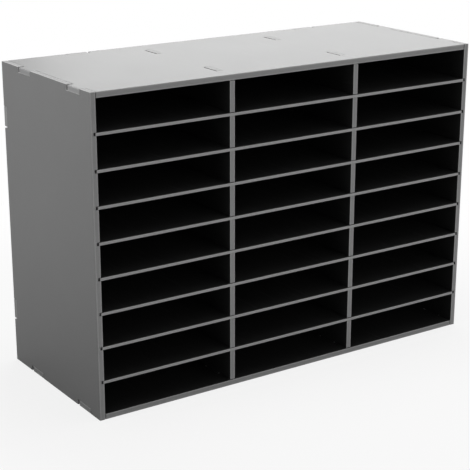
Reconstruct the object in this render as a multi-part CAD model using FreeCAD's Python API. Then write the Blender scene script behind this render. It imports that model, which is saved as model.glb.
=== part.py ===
import FreeCAD, Part
import os

# Flat-pack document organizer: columns of open compartments between boards that lock together
# by tabs, notches and slots, with thin full-width shelves that slide in from the front.
# Millimetres. X runs to the right along the front, Y from the front to the back, Z up.
# The origin is on the floor, under the middle of the case.

Vector = FreeCAD.Vector

# Compartments
COLUMNS = 3
ROWS = 9
CLEAR_WIDTH = 250.0
CLEAR_HEIGHT = 55.0

# Boards
BOARD = 10.0
SHELF = 5.0
DEPTH = 320.0
WIDTH = COLUMNS * CLEAR_WIDTH + (COLUMNS + 1) * BOARD
HEIGHT = ROWS * CLEAR_HEIGHT + (ROWS - 1) * SHELF + 2 * BOARD
FRONT = -DEPTH / 2
BACK = DEPTH / 2
BACK_PANEL_FRONT = BACK - BOARD
SIDE_INNER = WIDTH / 2 - BOARD
CEILING = HEIGHT - BOARD

# Tabs, and the notches in board edges that they lie in
TAB = 40.0
NOTCH_LEAD = 1.0
NOTCH_ROOM = 5.0
SIDE_TABS_FROM_FRONT = (34.0, 211.0)
BACK_TABS_ALONG_TOP = (-272.0, 228.0)
REAR_TAB = 35.5
REAR_NOTCH_LEAD = 3.0
REAR_NOTCH_ROOM = 0.6
REAR_TABS_UP_SIDES = (82.5, 440.5)

# Divider tabs, and the slots through the other boards that they pass through
DIVIDER_TABS_FROM_FRONT = (38.0, 233.0)
DIVIDER_TABS_UP_BACK = (77.5, 437.5)
SLOT_END_GAP = 1.0
FLAT_SLOT_SIDE_GAP = 1.6
BACK_SLOT_SIDE_GAP = 0.3

# Seams that stay open between assembled boards
END_SEAM = 0.8
BACK_TOP_SEAM = 0.6
DIVIDER_TOP_SEAM = 0.6
DIVIDER_BOTTOM_SEAM = 1.0
DIVIDER_BACK_SEAM = 0.5

# Shelf seats: grooves in the sides, half-depth slots where shelves and dividers cross
GROOVE_DEPTH = 5.0
GROOVE_HEIGHT = SHELF + 0.6
GROOVE_RUN = 309.0
SHELF_IN_GROOVE = 1.5
SHELF_DEPTH = 305.0
CROSSING_HEIGHT = SHELF + 1.0
CROSSING_WIDTH = BOARD + 1.0
CROSSING_MIDDLE = DEPTH / 2 - 5.0
CROSSING_GAP = 6.0
DIVIDER_SLOT_RUN = CROSSING_MIDDLE + CROSSING_GAP / 2
SHELF_SLOT_RUN = SHELF_DEPTH - CROSSING_MIDDLE + CROSSING_GAP / 2


def shelf_levels():
    """Heights of the shelves' undersides, from the lowest up."""
    return [BOARD + row * CLEAR_HEIGHT + (row - 1) * SHELF for row in range(1, ROWS)]


def divider_lefts():
    """X of each divider's left face."""
    pitch = CLEAR_WIDTH + BOARD
    return [-SIDE_INNER + column * pitch - BOARD for column in range(1, COLUMNS)]


def tabs(starts, reach, length=TAB):
    """Tabs on one edge of a board, each (from, to, how far it stands out)."""
    return [(start, start + length, reach) for start in starts]


def notches(tab_starts, length=TAB, lead=NOTCH_LEAD, room=NOTCH_ROOM):
    """Notches for those tabs, each with a lead before its tab and room after it."""
    return [(start - lead, start + length + room, -BOARD) for start in tab_starts]


def from_front(distances):
    """Y of places given by their distance behind the front edge."""
    return [FRONT + distance for distance in distances]


def board_outline(low_u, high_u, low_v, high_v, left=(), right=(), bottom=(), top=()):
    """Corners of a board, counter-clockwise, with the tabs and notches of its four edges."""
    points = [(low_u, low_v)]
    for start, end, out in bottom:
        points += [(start, low_v), (start, low_v - out), (end, low_v - out), (end, low_v)]
    points.append((high_u, low_v))
    for start, end, out in right:
        points += [(high_u, start), (high_u + out, start), (high_u + out, end), (high_u, end)]
    points.append((high_u, high_v))
    for start, end, out in reversed(top):
        points += [(end, high_v), (end, high_v + out), (start, high_v + out), (start, high_v)]
    points.append((low_u, high_v))
    for start, end, out in reversed(left):
        points += [(low_u, end), (low_u - out, end), (low_u - out, start), (low_u, start)]
    return points


def tab_slot(divider_left, tab_start, side_gap):
    """Hole for a divider's tab, which bears on the hole's right wall."""
    low_u = divider_left - side_gap
    high_u = divider_left + BOARD
    low_v = tab_start - SLOT_END_GAP
    high_v = tab_start + TAB + SLOT_END_GAP
    return board_outline(low_u, high_u, low_v, high_v)


def in_space(across, level, u, v):
    """Point (u, v) of a profile that lies square to one axis, at a level along it."""
    if across == "x":
        return Vector(level, u, v)
    if across == "y":
        return Vector(u, level, v)
    return Vector(u, v, level)


def cut_board(across, level, thickness, outline, holes=()):
    """A board cut from sheet: its outline and holes, as thick as the sheet."""
    wires = []
    for points in [outline, *holes]:
        corners = [in_space(across, level, u, v) for u, v in points]
        wires.append(Part.makePolygon(corners + corners[:1]))
    face = Part.makeFace(wires, "Part::FaceMakerBullseye")
    origin = in_space(across, 0, 0, 0)
    return face.extrude(in_space(across, thickness, 0, 0) - origin)


def routed_slot(mouth, run, half_width, through):
    """Cutter of a slot that is open at its mouth and half-round at its far end."""
    apex = mouth + run
    bend = apex - Vector(run).normalize() * half_width.Length
    lines = [
        Part.LineSegment(mouth - half_width, bend - half_width),
        Part.Arc(bend - half_width, apex, bend + half_width),
        Part.LineSegment(bend + half_width, mouth + half_width),
        Part.LineSegment(mouth + half_width, mouth - half_width),
    ]
    face = Part.Face(Part.Wire([line.toShape() for line in lines]))
    return face.extrude(through)


def side_panel(outward):
    """A side board, outward -1 on the left or 1 on the right, grooved for the shelves inside."""
    edge_notches = notches(from_front(SIDE_TABS_FROM_FRONT))
    rear_notches = notches(REAR_TABS_UP_SIDES, REAR_TAB, REAR_NOTCH_LEAD, REAR_NOTCH_ROOM)
    outline = board_outline(
        FRONT, BACK, 0, HEIGHT,
        right=rear_notches, bottom=edge_notches, top=edge_notches,
    )
    panel = cut_board("x", outward * SIDE_INNER, outward * BOARD, outline)
    half_height = Vector(0, 0, GROOVE_HEIGHT / 2)
    grooves = []
    for level in shelf_levels():
        mouth = Vector(outward * SIDE_INNER, FRONT, level) + half_height
        into_board = Vector(outward * GROOVE_DEPTH, 0, 0)
        grooves.append(routed_slot(mouth, Vector(0, GROOVE_RUN, 0), half_height, into_board))
    return panel.cut(grooves)


def flat_panel(level):
    """The top or the bottom board, between the sides, with its lower face at a level."""
    half_length = SIDE_INNER - END_SEAM
    end_tabs = tabs(from_front(SIDE_TABS_FROM_FRONT), BOARD + END_SEAM)
    outline = board_outline(
        -half_length, half_length, FRONT, BACK,
        left=end_tabs, right=end_tabs, top=notches(BACK_TABS_ALONG_TOP),
    )
    holes = []
    for left in divider_lefts():
        for start in from_front(DIVIDER_TABS_FROM_FRONT):
            holes.append(tab_slot(left, start, FLAT_SLOT_SIDE_GAP))
    return cut_board("z", level, BOARD, outline, holes)


def back_panel():
    """The back board: it stands on the bottom and has tabs all round."""
    half_length = SIDE_INNER - END_SEAM
    end_tabs = tabs(REAR_TABS_UP_SIDES, BOARD + END_SEAM, REAR_TAB)
    outline = board_outline(
        -half_length, half_length, BOARD, CEILING - BACK_TOP_SEAM,
        left=end_tabs, right=end_tabs,
        bottom=tabs(BACK_TABS_ALONG_TOP, BOARD),
        top=tabs(BACK_TABS_ALONG_TOP, BOARD + BACK_TOP_SEAM),
    )
    holes = []
    for left in divider_lefts():
        for start in DIVIDER_TABS_UP_BACK:
            holes.append(tab_slot(left, start, BACK_SLOT_SIDE_GAP))
    return cut_board("y", BACK_PANEL_FRONT, BOARD, outline, holes)


def divider(left):
    """An upright board with tabs above, below and behind, slotted from the front for the shelves."""
    flat_tabs = from_front(DIVIDER_TABS_FROM_FRONT)
    outline = board_outline(
        FRONT, BACK_PANEL_FRONT - DIVIDER_BACK_SEAM,
        BOARD + DIVIDER_BOTTOM_SEAM, CEILING - DIVIDER_TOP_SEAM,
        right=tabs(DIVIDER_TABS_UP_BACK, BOARD + DIVIDER_BACK_SEAM),
        bottom=tabs(flat_tabs, BOARD + DIVIDER_BOTTOM_SEAM),
        top=tabs(flat_tabs, BOARD + DIVIDER_TOP_SEAM),
    )
    panel = cut_board("x", left, BOARD, outline)
    half_height = Vector(0, 0, CROSSING_HEIGHT / 2)
    slots = []
    for level in shelf_levels():
        mouth = Vector(left, FRONT, level) + half_height
        slots.append(routed_slot(mouth, Vector(0, DIVIDER_SLOT_RUN, 0), half_height, Vector(BOARD, 0, 0)))
    return panel.cut(slots)


def shelf(level):
    """A thin shelf over the full width, slotted from behind where it crosses the dividers."""
    half_length = SIDE_INNER + SHELF_IN_GROOVE
    outline = board_outline(-half_length, half_length, FRONT, FRONT + SHELF_DEPTH)
    panel = cut_board("z", level, SHELF, outline)
    half_width = Vector(CROSSING_WIDTH / 2, 0, 0)
    slots = []
    for left in divider_lefts():
        mouth = Vector(left + BOARD / 2, FRONT + SHELF_DEPTH, level)
        slots.append(routed_slot(mouth, Vector(0, -SHELF_SLOT_RUN, 0), half_width, Vector(0, 0, SHELF)))
    return panel.cut(slots)


def build_pieces():
    """All pieces by name, each one solid."""
    left_divider_x, right_divider_x = divider_lefts()
    pieces = {
        "left_side": side_panel(-1),
        "right_side": side_panel(1),
        "top_panel": flat_panel(CEILING),
        "bottom_panel": flat_panel(0),
        "back_panel": back_panel(),
        "left_divider": divider(left_divider_x),
        "right_divider": divider(right_divider_x),
    }
    for number, level in enumerate(shelf_levels(), start=1):
        pieces[f"shelf_{number}"] = shelf(level)
    return pieces


def main():
    """Build every piece and write it to its own file."""
    os.makedirs("parts", exist_ok=True)
    for name, shape in build_pieces().items():
        solid = shape.Solids[0]
        solid.exportStep(f"parts/{name}.step")
        print(f"{name}: {len(shape.Solids)} solid, {solid.Volume / 1000:.1f} cm3, valid {solid.isValid()}")


main()
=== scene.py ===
import logging
import math
from collections.abc import Mapping, Sequence
from dataclasses import dataclass, field
from enum import Enum
from typing import Optional, Union

import bpy
from mathutils import Matrix, Vector


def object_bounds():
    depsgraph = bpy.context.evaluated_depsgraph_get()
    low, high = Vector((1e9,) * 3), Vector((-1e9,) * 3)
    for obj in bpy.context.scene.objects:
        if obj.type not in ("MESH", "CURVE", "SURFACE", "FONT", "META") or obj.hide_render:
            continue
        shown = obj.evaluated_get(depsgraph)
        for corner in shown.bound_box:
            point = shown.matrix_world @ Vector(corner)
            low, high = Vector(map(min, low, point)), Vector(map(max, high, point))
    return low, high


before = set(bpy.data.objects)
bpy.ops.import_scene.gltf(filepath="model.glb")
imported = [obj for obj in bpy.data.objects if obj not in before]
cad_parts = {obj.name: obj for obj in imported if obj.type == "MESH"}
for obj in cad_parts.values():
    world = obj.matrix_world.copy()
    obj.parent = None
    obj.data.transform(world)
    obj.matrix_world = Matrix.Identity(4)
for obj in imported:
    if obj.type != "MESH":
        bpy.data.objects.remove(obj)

# A flat-pack document organizer of boards that lock together, in sealed grey and black laminate.
# Metres. X runs to the right along the front, Y from the front to the back, Z up.

CAD_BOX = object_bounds()
LOG = logging.getLogger("document_organizer")

# The middle of a mask, of a noise and of a board's thickness.
MIDDLE = 0.5

Place = tuple[float, float, float]
Span = tuple[float, float]
Shade = tuple[float, float, float, float]
Term = Union["Signal", float]


class Axis(Enum):
    """The direction that a board's thickness lies along."""

    X = 0
    Y = 1
    Z = 2


def grey(level: float) -> Shade:
    """A neutral grey as an opaque colour."""
    return (level, level, level, 1.0)


WHITE = grey(1.0)


class Signal:
    """A value, colour or vector inside a node tree. Arithmetic on values adds Math nodes."""

    def __init__(self, recipe: "Recipe", socket: bpy.types.NodeSocket) -> None:
        """Wrap one output socket of a recipe."""
        self.recipe = recipe
        self.socket = socket

    def _math(self, operation: str, first: Term, second: Term = 0.0) -> "Signal":
        """The result of one new Math node."""
        return self.recipe.node("ShaderNodeMath", {"operation": operation}, {0: first, 1: second})

    def __add__(self, other: Term) -> "Signal":
        """Sum."""
        return self._math("ADD", self, other)

    def __radd__(self, other: Term) -> "Signal":
        """Sum, number first."""
        return self._math("ADD", other, self)

    def __sub__(self, other: Term) -> "Signal":
        """Difference."""
        return self._math("SUBTRACT", self, other)

    def __rsub__(self, other: Term) -> "Signal":
        """Difference, number first."""
        return self._math("SUBTRACT", other, self)

    def __mul__(self, other: Term) -> "Signal":
        """Product."""
        return self._math("MULTIPLY", self, other)

    def __rmul__(self, other: Term) -> "Signal":
        """Product, number first."""
        return self._math("MULTIPLY", other, self)

    def __neg__(self) -> "Signal":
        """Opposite sign."""
        return self._math("MULTIPLY", self, -1.0)

    def __abs__(self) -> "Signal":
        """Size without the sign."""
        return self._math("ABSOLUTE", self)

    def larger(self, other: Term) -> "Signal":
        """The larger of two values."""
        return self._math("MAXIMUM", self, other)

    def rise(self, low: float, high: float) -> "Signal":
        """Smooth step up.

        Args:
            low: the value where the step begins, at 0.
            high: the value where it ends, at 1.

        Returns:
            A mask from 0 to 1.
        """
        return self.recipe.node(
            "ShaderNodeMapRange",
            {"interpolation_type": "SMOOTHSTEP"},
            {"Value": self, "From Min": low, "From Max": high, "To Min": 0.0, "To Max": 1.0},
        )

    def fall(self, low: float, high: float) -> "Signal":
        """Smooth step down, 1 below low and 0 above high."""
        return 1.0 - self.rise(low, high)

    def within(self, low: float, high: float, fade: float) -> "Signal":
        """Mask that is 1 between two values and fades just inside them."""
        return self.rise(low, low + fade) * self.fall(high - fade, high)


class Recipe:
    """A node tree that is written as Python expressions."""

    finer_share: float = 0.55

    def __init__(self, tree: bpy.types.NodeTree) -> None:
        """Start on an empty tree."""
        tree.nodes.clear()
        self.tree = tree

    def node(
        self,
        kind: str,
        settings: Mapping[str, object],
        sockets: Mapping[Union[int, str], object],
        output: Union[int, str] = 0,
    ) -> Signal:
        """Add a node of any type.

        Args:
            kind: the node's type.
            settings: its properties, which are set first.
            sockets: numbers, colours or signals for its inputs, by index or name.
            output: the output to return.

        Returns:
            The chosen output.
        """
        made = self.tree.nodes.new(kind)
        for name, value in settings.items():
            setattr(made, name, value)
        for key, value in sockets.items():
            if isinstance(value, Signal):
                self.tree.links.new(value.socket, made.inputs[key])
            else:
                made.inputs[key].default_value = value
        return Signal(self, made.outputs[output])

    def close(self, kind: str, surface: Signal) -> None:
        """Add the output node and link the surface to it."""
        made = self.tree.nodes.new(kind)
        self.tree.links.new(surface.socket, made.inputs["Surface"])

    def place(self, output: str) -> Signal:
        """A texture coordinate by its name."""
        return self.node("ShaderNodeTexCoord", {}, {}, output)

    def part(self, vector: Signal, axis: Axis) -> Signal:
        """One component of a vector."""
        return self.node("ShaderNodeSeparateXYZ", {}, {0: vector}, axis.value)

    def stretch(self, vector: Signal, factors: Sequence[float]) -> Signal:
        """A vector with each component times its factor."""
        return self.node("ShaderNodeVectorMath", {"operation": "MULTIPLY"}, {0: vector, 1: tuple(factors)})

    def noise(self, vector: Signal, size: float, detail: float = 2.0) -> Signal:
        """Soft noise from about -0.5 to 0.5, with patches of a size in metres and some finer layers."""
        sockets = {"Vector": vector, "Scale": 1.0 / size, "Detail": detail, "Roughness": self.finer_share}
        return self.node("ShaderNodeTexNoise", {"noise_dimensions": "3D"}, sockets) - MIDDLE

    def mix(self, factor: Term, first: object, second: object) -> Signal:
        """Blend of two colours, the first at 0 and the second at 1."""
        return self.node("ShaderNodeMix", {"data_type": "RGBA"}, {0: factor, 6: first, 7: second}, 2)

    def shades(self, tone: Signal, darkest: float, lightest: float) -> Signal:
        """A grey between two levels."""
        return self.mix(tone, grey(darkest), grey(lightest))

    def blend(self, factor: Signal, first: Signal, second: Signal) -> Signal:
        """Blend of two values by a mask."""
        return first + factor * (second - first)


@dataclass(frozen=True)
class Surface:
    """What one finish gives at each point: colour, roughness and height in metres."""

    colour: Signal
    roughness: Signal
    relief: Signal

    def over(self, other: "Surface", mask: Signal) -> "Surface":
        """Lay this surface over another.

        Args:
            other: the surface below.
            mask: 1 where this one shows.

        Returns:
            The two together.
        """
        recipe = mask.recipe
        return Surface(
            recipe.mix(mask, other.colour, self.colour),
            recipe.blend(mask, other.roughness, self.roughness),
            recipe.blend(mask, other.relief, self.relief),
        )


@dataclass(frozen=True)
class LaminateFinish:
    """Pressed laminate on a board's broad face: fine pebble grain, faint clouding and rub marks."""

    level: float
    clouding: float
    roughness: float
    rub: float
    grain_size: float = 0.0011
    grain_depth: float = 0.00003
    grain_tone: float = 0.5
    grain_roughness: float = 0.08
    cloud_size: float = 0.11
    cloud_detail: float = 4.0
    cloud_tone: float = 1.3
    cloud_roughness: float = 0.06
    rub_size: float = 0.12
    rub_detail: float = 3.0
    rub_stretch: Place = (14.0, 1.0, 14.0)
    rub_edge: Span = (0.05, 0.25)
    rub_shine: float = 0.2

    def surface(self, recipe: Recipe) -> Surface:
        """The finish at each point of a board.

        Args:
            recipe: the material's node tree.

        Returns:
            Its colour, roughness and relief.
        """
        point = recipe.place("Object")
        grain = recipe.noise(point, self.grain_size)
        cloud = recipe.noise(point, self.cloud_size, self.cloud_detail)
        streaks = recipe.noise(recipe.stretch(point, self.rub_stretch), self.rub_size, self.rub_detail)
        rubbed = streaks.rise(*self.rub_edge) * self.rub
        tone = MIDDLE + cloud * self.cloud_tone + grain * self.grain_tone + rubbed
        swing = self.level * self.clouding
        colour = recipe.shades(tone, self.level - swing, self.level + swing)
        uneven = cloud * self.cloud_roughness + grain * self.grain_roughness
        return Surface(colour, self.roughness + uneven - rubbed * self.rub_shine, grain * self.grain_depth)


@dataclass(frozen=True)
class EdgeFinish:
    """A board's sealed cut edge: fibre layers along the faces, pores and a paler skin at each face, partly
    a painted highlight along the arrises.
    """

    level: float
    layering: float = 0.09
    roughness: float = 0.66
    layer_size: float = 0.006
    layer_detail: float = 3.0
    layer_stretch: float = 9.0
    layer_tone: float = 1.2
    layer_roughness: float = 0.12
    pore_size: float = 0.0009
    pore_depth: float = 0.00004
    pore_tone: float = 0.7
    skin_highlight_level: float = 0.60
    skin_highlight_lift: float = 0.75
    skin_highlight_edge: Span = (0.40, 0.85)
    skin_shine: float = 0.06

    def surface(self, recipe: Recipe, axis: Axis) -> Surface:
        """The finish at each point of a board's edges.

        Args:
            recipe: the material's node tree.
            axis: the direction of the board's thickness.

        Returns:
            Its colour, roughness and relief.
        """
        point = recipe.place("Object")
        factors = [1.0, 1.0, 1.0]
        factors[axis.value] = self.layer_stretch
        layers = recipe.noise(recipe.stretch(point, factors), self.layer_size, self.layer_detail)
        pores = recipe.noise(point, self.pore_size)
        to_face = abs(recipe.part(recipe.place("Generated"), axis) - MIDDLE) * (1.0 / MIDDLE)
        skin_highlight = to_face.rise(*self.skin_highlight_edge)
        tone = MIDDLE + layers * self.layer_tone + pores * self.pore_tone
        swing = self.level * self.layering
        fibre = recipe.shades(tone, self.level - swing, self.level + swing)
        # Paler skin at each face: partly the board's denser skin, partly a painted highlight along the
        # arrises.
        colour = recipe.mix(skin_highlight * self.skin_highlight_lift, fibre, grey(self.skin_highlight_level))
        roughness = self.roughness + layers * self.layer_roughness - skin_highlight * self.skin_shine
        return Surface(colour, roughness, (pores + layers) * self.pore_depth)


@dataclass(frozen=True)
class RoutedCoreAndShade:
    """The dark core that a routed groove or slot lays open, with cutter marks across it; its darkness is
    partly core colour and partly painted shade.
    """

    darkest: float = 0.012
    lightest: float = 0.03
    roughness: float = 0.85
    fuzz_size: float = 0.0008
    fuzz_detail: float = 3.0
    fuzz_depth: float = 0.00008
    fuzz_roughness: float = 0.1
    mark_size: float = 0.03
    mark_stretch: Place = (1.0, 12.0, 1.0)
    mark_tone: float = 0.6

    def surface(self, recipe: Recipe) -> Surface:
        """The finish inside grooves and slots: dark core colour with painted shade.

        Args:
            recipe: the material's node tree.

        Returns:
            Its colour, roughness and relief.
        """
        point = recipe.place("Object")
        fuzz = recipe.noise(point, self.fuzz_size, self.fuzz_detail)
        marks = recipe.noise(recipe.stretch(point, self.mark_stretch), self.mark_size)
        colour = recipe.shades(MIDDLE + fuzz + marks * self.mark_tone, self.darkest, self.lightest)
        return Surface(colour, self.roughness + fuzz * self.fuzz_roughness, fuzz * self.fuzz_depth)


@dataclass(frozen=True)
class RoutedRegion:
    """Where an upright board holds its routed cuts: behind its sealed front edge, clear of its ends. Its
    cut surfaces there get the dark core with painted shade.
    """

    behind_front: float = 0.0015
    before_back: float = 0.0115
    above_floor: float = 0.03
    below_top: float = 0.025
    fade: float = 0.0004

    def mask(self, recipe: Recipe) -> Signal:
        """Mask of the region.

        Args:
            recipe: the material's node tree.

        Returns:
            1 inside the region, 0 outside.
        """
        (_, front, floor), (_, back, top) = CAD_BOX
        point = recipe.place("Object")
        depth = recipe.part(point, Axis.Y)
        height = recipe.part(point, Axis.Z)
        in_depth = depth.within(front + self.behind_front, back - self.before_back, self.fade)
        in_height = height.within(floor + self.above_floor, top - self.below_top, self.fade)
        return in_depth * in_height


GREY_LAMINATE = LaminateFinish(level=0.23, clouding=0.05, roughness=0.36, rub=0.06)
BLACK_LAMINATE = LaminateFinish(level=0.016, clouding=0.22, roughness=0.52, rub=0.55)
GREY_EDGE = EdgeFinish(level=0.43)
# Lighter copy of the edge finish for the thin shelves: painted light that makes up for the shade on their
# narrow edges.
LIGHTENED_SHELF_EDGE = EdgeFinish(level=0.56)
# Dark routed core: partly the core's colour, partly painted shade inside grooves and slots.
ROUTED_CORE_AND_SHADE = RoutedCoreAndShade()
SHELF_CUTS = RoutedRegion()

# Where a laminate that laps over the arrises of an upright board gives way to its cut edge. Set far onto
# the arris, its darker laminate also paints shade along the seams and slot lines.
LAPPED_SEAM_SHADE_TURN = (0.45, 0.72)


@dataclass(frozen=True)
class BoardFinish:
    """The finishes of one kind of board: its two broad faces, its edges and its routed cuts."""

    name: str
    axis: Axis
    low_face: LaminateFinish
    high_face: LaminateFinish
    edge: EdgeFinish = GREY_EDGE
    routed: Optional[RoutedRegion] = None
    face_turn: Span = (0.76, 0.95)
    bump_strength: float = 0.6
    gloss_ior: float = 1.33
    # Lightened arrises: partly real rubbing, partly a painted highlight along them.
    wear_highlight_level: float = 0.55
    wear_highlight_lift: float = 0.12
    wear_roughness: float = 0.1
    wear_highlight_turn: Span = (0.93, 0.995)
    wear_highlight_size: float = 0.02
    wear_highlight_detail: float = 3.0
    wear_highlight_edge: Span = (-0.18, 0.18)
    wear_highlight_least: float = 0.35

    def material(self) -> bpy.types.Material:
        """The board's material.

        Returns:
            A node material that tells faces, edges and cuts apart by where they point and lie.
        """
        made = bpy.data.materials.new(self.name)
        made.use_nodes = True
        recipe = Recipe(made.node_tree)
        facing = recipe.place("Normal")
        look = self._look(recipe, recipe.part(facing, self.axis))
        wear_and_highlight = self._wear_and_highlight(recipe, facing)
        relief = {"Strength": self.bump_strength, "Distance": 1.0, "Height": look.relief}
        sockets = {
            # Arrises lightened towards a pale grey: partly wear, partly a painted highlight.
            "Base Color": recipe.mix(wear_and_highlight * self.wear_highlight_lift, look.colour, grey(self.wear_highlight_level)),
            "Roughness": look.roughness + wear_and_highlight * self.wear_roughness,
            "Normal": recipe.node("ShaderNodeBump", {}, relief, "Normal"),
            "IOR": self.gloss_ior,
        }
        recipe.close("ShaderNodeOutputMaterial", recipe.node("ShaderNodeBsdfPrincipled", {}, sockets))
        return made

    def _look(self, recipe: Recipe, along: Signal) -> Surface:
        """The board's finishes laid over each other: edges, then cuts in dark core with painted shade, then
        broad faces.

        Args:
            recipe: the material's node tree.
            along: how far the surface points along the board's thickness, from -1 to 1.

        Returns:
            The board's colour, roughness and relief, without wear.
        """
        look = self.edge.surface(recipe, self.axis)
        if self.routed is not None:
            look = ROUTED_CORE_AND_SHADE.surface(recipe).over(look, self.routed.mask(recipe))
        if self.low_face == self.high_face:
            return self.low_face.surface(recipe).over(look, abs(along).rise(*self.face_turn))
        look = self.low_face.surface(recipe).over(look, (-along).rise(*self.face_turn))
        return self.high_face.surface(recipe).over(look, along.rise(*self.face_turn))

    def _wear_and_highlight(self, recipe: Recipe, facing: Signal) -> Signal:
        """Mask of the rubbed arrises, which lightens them: partly wear, partly a painted highlight.

        Args:
            recipe: the material's node tree.
            facing: the surface's direction.

        Returns:
            Up to 1 on an arris, broken up along its length, and 0 on flat faces.
        """
        largest = abs(recipe.part(facing, Axis.X)).larger(abs(recipe.part(facing, Axis.Y)))
        largest = largest.larger(abs(recipe.part(facing, Axis.Z)))
        patches = recipe.noise(recipe.place("Object"), self.wear_highlight_size, self.wear_highlight_detail)
        broken = self.wear_highlight_least + (1.0 - self.wear_highlight_least) * patches.rise(*self.wear_highlight_edge)
        return largest.fall(*self.wear_highlight_turn) * broken


@dataclass
class Boards:
    """A set of like boards: how their arrises are eased, with angles in degrees, and their finish."""

    nodes: Sequence[str]
    finish: BoardFinish
    arris: float = 0.0006
    arris_steps: int = 2
    join_distance: float = 1e-6
    flat_angle: float = 0.5
    sharp_angle: float = 50.0

    def build(self) -> None:
        """Ease every sharp arris of the boards."""
        for name in self.nodes:
            self._ease(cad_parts[name])

    def _ease(self, board: bpy.types.Object) -> None:
        """Round one board's arrises.

        Args:
            board: the board's object.
        """
        join = board.modifiers.new("joined_faces", "WELD")
        join.merge_threshold = self.join_distance
        flat = board.modifiers.new("flat_faces", "DECIMATE")
        flat.decimate_type = "DISSOLVE"
        flat.angle_limit = math.radians(self.flat_angle)
        ease = board.modifiers.new("eased_arrises", "BEVEL")
        ease.limit_method = "ANGLE"
        ease.angle_limit = math.radians(self.sharp_angle)
        ease.width = self.arris
        ease.segments = self.arris_steps
        ease.use_clamp_overlap = False
        ease.harden_normals = True

    def dress(self) -> None:
        """Give the boards their material."""
        material = self.finish.material()
        for name in self.nodes:
            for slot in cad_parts[name].material_slots:
                slot.material = material
            LOG.info("%s: %s", name, material.name)


@dataclass
class Case:
    """The outer case: sides, top, bottom and back, grey outside and black inside."""

    flat_arris: float = 0.001
    sets: list[Boards] = field(init=False)

    def __post_init__(self) -> None:
        """List the case's boards with their finishes."""
        outside, inside = GREY_LAMINATE, BLACK_LAMINATE
        self.sets = [
            Boards(["left_side"], self._side("left_side_board", outside, inside)),
            Boards(["right_side"], self._side("right_side_board", inside, outside)),
            Boards(["top_panel"], BoardFinish("top_board", Axis.Z, inside, outside), self.flat_arris),
            Boards(["bottom_panel"], BoardFinish("bottom_board", Axis.Z, outside, inside), self.flat_arris),
            Boards(["back_panel"], BoardFinish("back_board", Axis.Y, inside, outside)),
        ]

    def _side(self, name: str, low_face: LaminateFinish, high_face: LaminateFinish) -> BoardFinish:
        """A side board's finish: dark grooves with painted shade, and laminates that lap over the arrises
        and paint shade along the seams.
        """
        return BoardFinish(
            # Lapped laminate darkens the arrises: painted shade along the seams.
            name, Axis.X, low_face, high_face, routed=SHELF_CUTS, face_turn=LAPPED_SEAM_SHADE_TURN
        )

    def build(self) -> None:
        """Ease the arrises of every board."""
        for boards in self.sets:
            boards.build()

    def dress(self) -> None:
        """Finish every board."""
        for boards in self.sets:
            boards.dress()


@dataclass
class Dividers(Boards):
    """The upright boards between the columns, black on both faces and slotted from the front."""

    nodes: Sequence[str] = ("left_divider", "right_divider")
    finish: BoardFinish = BoardFinish(
        "divider_board",
        Axis.X,
        BLACK_LAMINATE,
        BLACK_LAMINATE,
        # Painted shade: dark core in the slots, and black laminate lapped far over the arrises to darken
        # the slot lines.
        routed=SHELF_CUTS,
        face_turn=LAPPED_SEAM_SHADE_TURN,
    )


@dataclass
class Shelves(Boards):
    """The thin full-width shelves, black on both faces, with edges painted lighter to make up for their
    shade.
    """

    nodes: Sequence[str] = tuple(f"shelf_{number}" for number in range(1, 9))
    finish: BoardFinish = BoardFinish("shelf_board", Axis.Z, BLACK_LAMINATE, BLACK_LAMINATE, LIGHTENED_SHELF_EDGE)
    arris: float = 0.0004


@dataclass(frozen=True)
class SoftBox:
    """A square studio lamp. Its spread is in degrees."""

    name: str
    place: Place
    aim: Place
    size: float
    power: float
    spread: float = 180.0
    in_gloss: bool = True

    def build(self) -> None:
        """Hang the lamp and turn it to its aim."""
        lamp = bpy.data.lights.new(self.name, "AREA")
        lamp.shape = "SQUARE"
        lamp.size = self.size
        lamp.energy = self.power
        lamp.spread = math.radians(self.spread)
        holder = bpy.data.objects.new(self.name, lamp)
        holder.location = self.place
        holder.rotation_euler = (Vector(self.aim) - Vector(self.place)).to_track_quat("-Z", "Y").to_euler()
        holder.visible_camera = False
        holder.visible_glossy = self.in_gloss
        bpy.context.scene.collection.objects.link(holder)
        LOG.info("%s: lamp", self.name)


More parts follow.
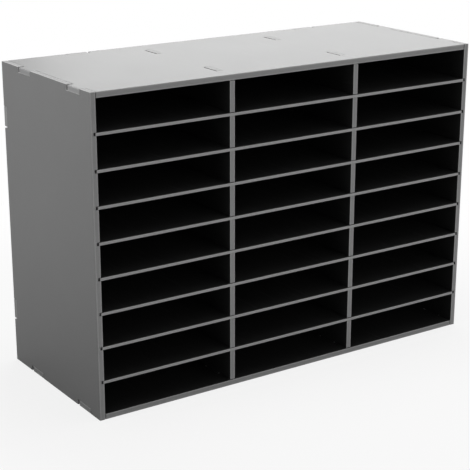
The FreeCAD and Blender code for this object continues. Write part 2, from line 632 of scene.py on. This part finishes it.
@dataclass(frozen=True)
class Studio:
    """A pale floor that fades into a white surround, with soft lamps."""

    floor_radius: float = 4.0
    floor_sides: int = 96
    floor_drop: float = 0.0002
    floor_white: float = 0.95
    floor_bounce: float = 0.52
    fade_from: float = 0.5
    fade_to: float = 1.1
    shadow_lift: float = 0.84
    gloss_lift: float = 0.5
    ambient: float = 0.10
    lamps: tuple[SoftBox, ...] = (
        SoftBox("overhead_lamp", (0.2, 0.1, 2.3), (0.1, 0.0, 0.4), 1.4, 31.0),
        SoftBox("left_lamp", (-1.7, -0.05, 0.92), (-0.395, -0.05, 0.92), 0.7, 2.55, 90.0, in_gloss=False),
        SoftBox("front_lamp", (0.4, -2.4, 0.45), (0.0, 0.0, 0.2), 1.6, 9.8),
        SoftBox("back_lamp", (1.68, 1.82, 1.1), (0.2, 0.0, 0.5), 2.25, 19.6),
    )

    def build(self) -> None:
        """Lay the floor, set the surround and hang the lamps."""
        bpy.context.scene.view_settings.view_transform = "Standard"
        self._floor()
        self._surround()
        for lamp in self.lamps:
            lamp.build()

    def _rays(self, recipe: Recipe, kind: str) -> Signal:
        """Mask of one kind of ray, by its name."""
        return recipe.node("ShaderNodeLightPath", {}, {}, kind)

    def _seen(self, recipe: Recipe) -> Signal:
        """Mask of what the camera sees, directly or through gloss or glass.

        Args:
            recipe: the material's or the surround's node tree.

        Returns:
            1 where it is seen, 0 where it only gives light.
        """
        seen = self._rays(recipe, "Is Camera Ray")
        for kind in ("Is Glossy Ray", "Is Transmission Ray"):
            seen = seen.larger(self._rays(recipe, kind))
        return seen

    def _floor(self) -> None:
        """A round floor: shadows near the object, plain white further out."""
        mesh = bpy.data.meshes.new("studio_floor")
        turn = 2.0 * math.pi / self.floor_sides
        rim = [
            (self.floor_radius * math.cos(step * turn), self.floor_radius * math.sin(step * turn), 0.0)
            for step in range(self.floor_sides)
        ]
        mesh.from_pydata(rim, [], [list(range(self.floor_sides))])
        mesh.materials.append(self._floor_material())
        floor = bpy.data.objects.new("studio_floor", mesh)
        floor.location.z = -self.floor_drop
        bpy.context.scene.collection.objects.link(floor)
        LOG.info("studio_floor: stage")

    def _floor_material(self) -> bpy.types.Material:
        """The floor's finish.

        Returns:
            A pale matt material that turns to plain white away from the object.
        """
        made = bpy.data.materials.new("pale_floor")
        made.use_nodes = True
        recipe = Recipe(made.node_tree)
        point = recipe.place("Object")
        reach = recipe.node("ShaderNodeVectorMath", {"operation": "LENGTH"}, {0: point}, "Value")
        far = reach.rise(self.fade_from, self.fade_to)
        lift = self._rays(recipe, "Is Camera Ray") * self.shadow_lift
        lift = lift.larger(self._rays(recipe, "Is Glossy Ray") * self.gloss_lift)
        fade = far + (1.0 - far) * lift
        matt = recipe.node("ShaderNodeBsdfDiffuse", {}, {"Color": grey(self.floor_white)})
        plain = recipe.node("ShaderNodeEmission", {}, {"Color": WHITE, "Strength": 1.0})
        shown = recipe.node("ShaderNodeMixShader", {}, {0: fade, 1: matt, 2: plain})
        bounce = recipe.node("ShaderNodeBsdfDiffuse", {}, {"Color": grey(self.floor_bounce)})
        surface = recipe.node("ShaderNodeMixShader", {}, {0: self._seen(recipe), 1: bounce, 2: shown})
        recipe.close("ShaderNodeOutputMaterial", surface)
        return made

    def _surround(self) -> None:
        """White where it is seen, a soft even light where it is not."""
        world = bpy.data.worlds.new("white_surround")
        bpy.context.scene.world = world
        world.use_nodes = True
        recipe = Recipe(world.node_tree)
        light = recipe.node("ShaderNodeBackground", {}, {"Color": WHITE, "Strength": self.ambient})
        white = recipe.node("ShaderNodeBackground", {}, {"Color": WHITE, "Strength": 1.0})
        surface = recipe.node("ShaderNodeMixShader", {}, {0: self._seen(recipe), 1: light, 2: white})
        recipe.close("ShaderNodeOutputWorld", surface)


@dataclass(frozen=True)
class PhotoCamera:
    """The camera at the photograph's place: left of the front and a little above."""

    azimuth: float = -33.942
    elevation: float = 17.728
    distance: float = 2.519
    target: Place = (-0.02547, -0.0122, 0.2198)
    lens: float = 104.66
    sensor: float = 36.0
    clip: Span = (0.01, 50.0)

    def build(self) -> None:
        """Set up the camera and make it the scene's own."""
        turn, rise = math.radians(self.azimuth), math.radians(self.elevation)
        back = Vector((math.sin(turn) * math.cos(rise), -math.cos(turn) * math.cos(rise), math.sin(rise)))
        data = bpy.data.cameras.new("photo_camera")
        data.sensor_width = self.sensor
        data.lens = self.lens
        data.clip_start, data.clip_end = self.clip
        camera = bpy.data.objects.new("photo_camera", data)
        turned = (-back).to_track_quat("-Z", "Y").to_matrix().to_4x4()
        camera.matrix_world = Matrix.Translation(Vector(self.target) + back * self.distance) @ turned
        bpy.context.scene.collection.objects.link(camera)
        bpy.context.scene.camera = camera


def main() -> None:
    """Build and dress the organizer, then the studio and the camera."""
    logging.basicConfig(level=logging.INFO, format="%(message)s")
    for assembly in (Case(), Dividers(), Shelves()):
        assembly.build()
        assembly.dress()
    Studio().build()
    PhotoCamera().build()


if __name__ == "__main__":
    main()
